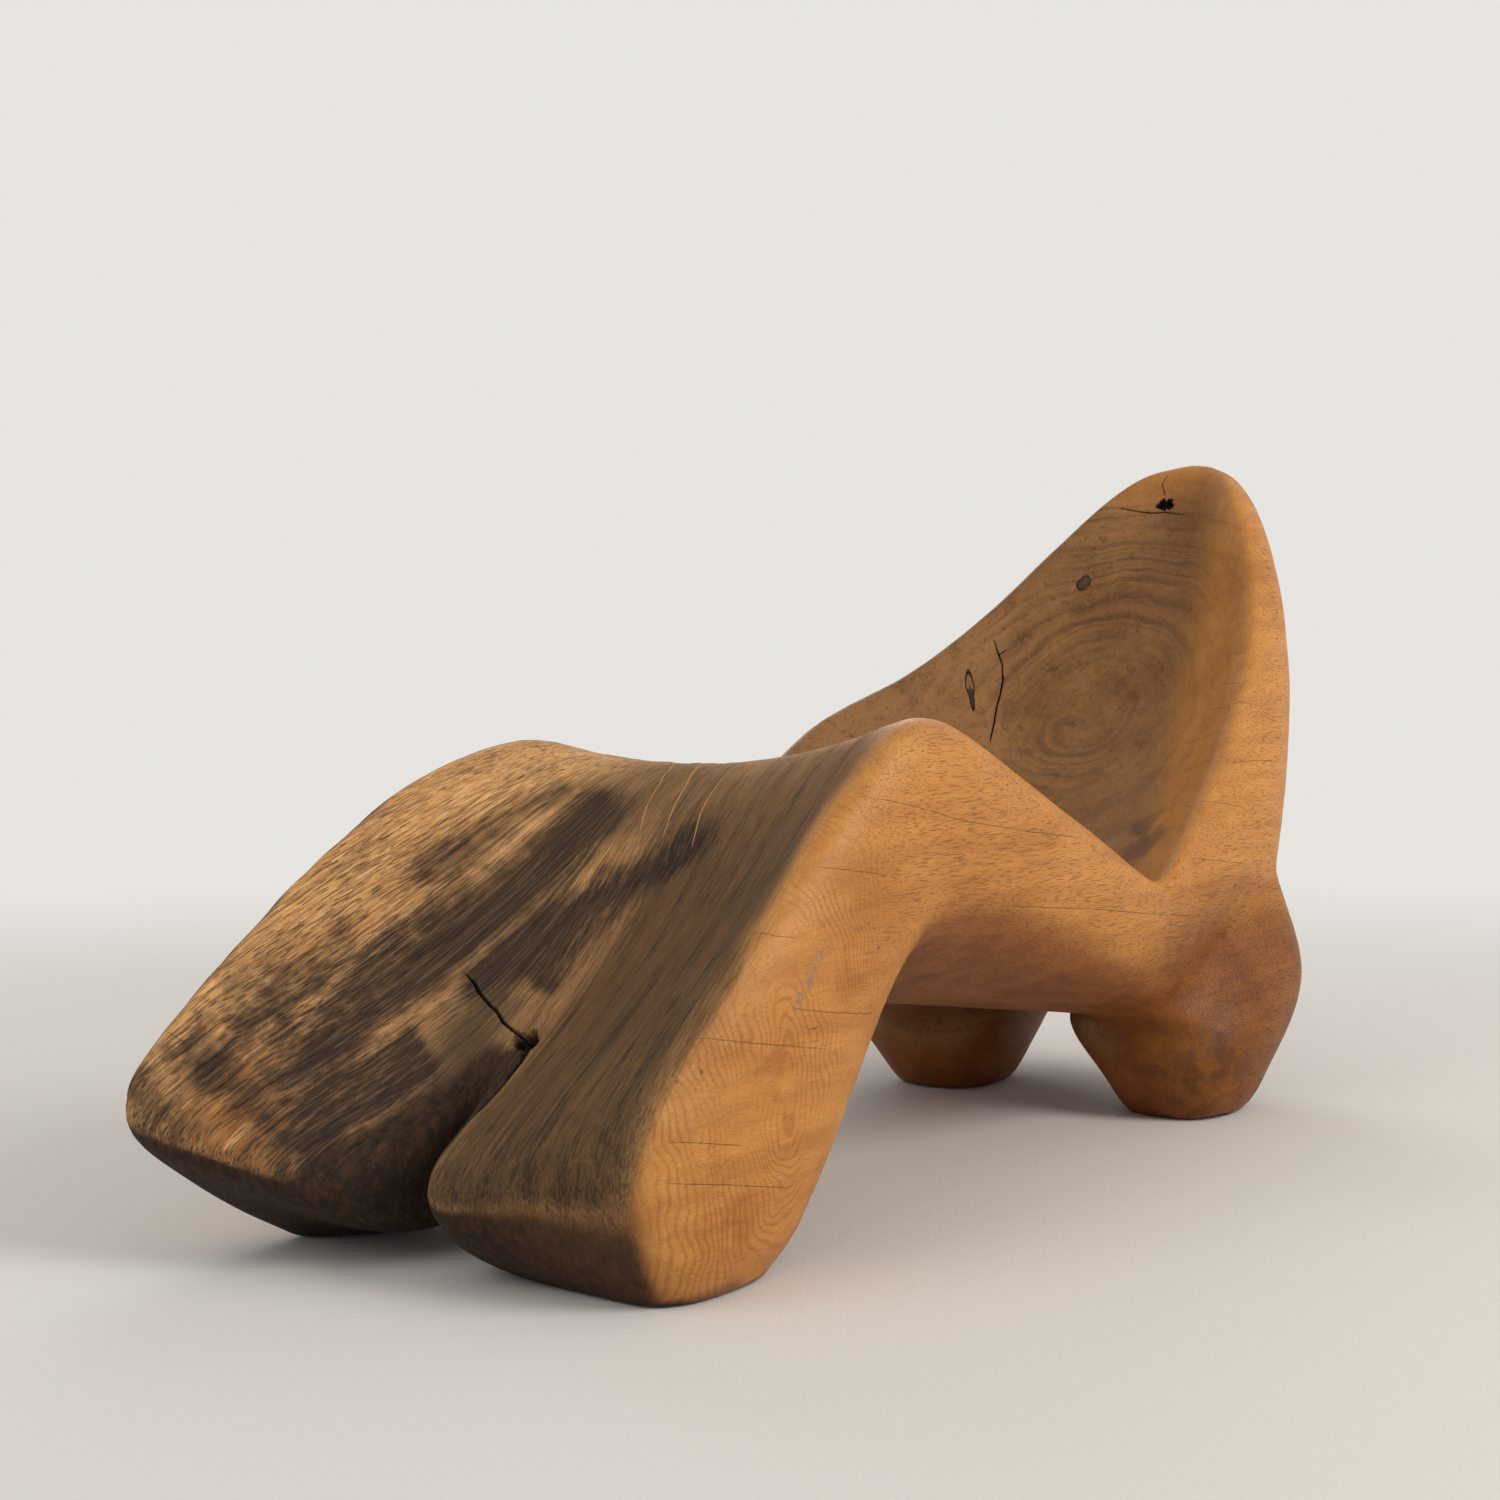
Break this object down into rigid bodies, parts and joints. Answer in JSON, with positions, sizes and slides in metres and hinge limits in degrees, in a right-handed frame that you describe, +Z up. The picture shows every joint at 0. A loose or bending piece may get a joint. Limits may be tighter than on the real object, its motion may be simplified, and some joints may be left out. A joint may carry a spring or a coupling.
{
  "type": "chaise longue",
  "caption": "Chaise longue carved from one log: sloping split legrest, humped knee, scooped seat and tall pointed hollow back with a side wing, on stub legs.",
  "frame": {"origin": "on the floor, under the middle of the bounding box", "axes": "+X along the log from the foot end to the head of the back, +Y towards the side with the wing, +Z up"},
  "size_m": [1.913, 0.6886, 0.929],
  "materials": {
    "trunk_wood": "oiled and rubbed on the sides, weathered grey-brown in the hollows",
    "dead_knot": "dry end grain",
    "rotted_knot": "crumbly, unfinished",
    "bark": "rough bark",
    "felt": "pressed felt"
  },
  "bodies": {
    "root": {"carved_trunk": "trunk_wood", "backrest_knot": "dead_knot", "crown_knot": "rotted_knot", "wing_bark_pocket": "bark", "floor_pad_front_near": "felt", "floor_pad_front_far": "felt", "floor_pad_rear_near": "felt", "floor_pad_rear_far": "felt"}
  },
  "joints": []
}
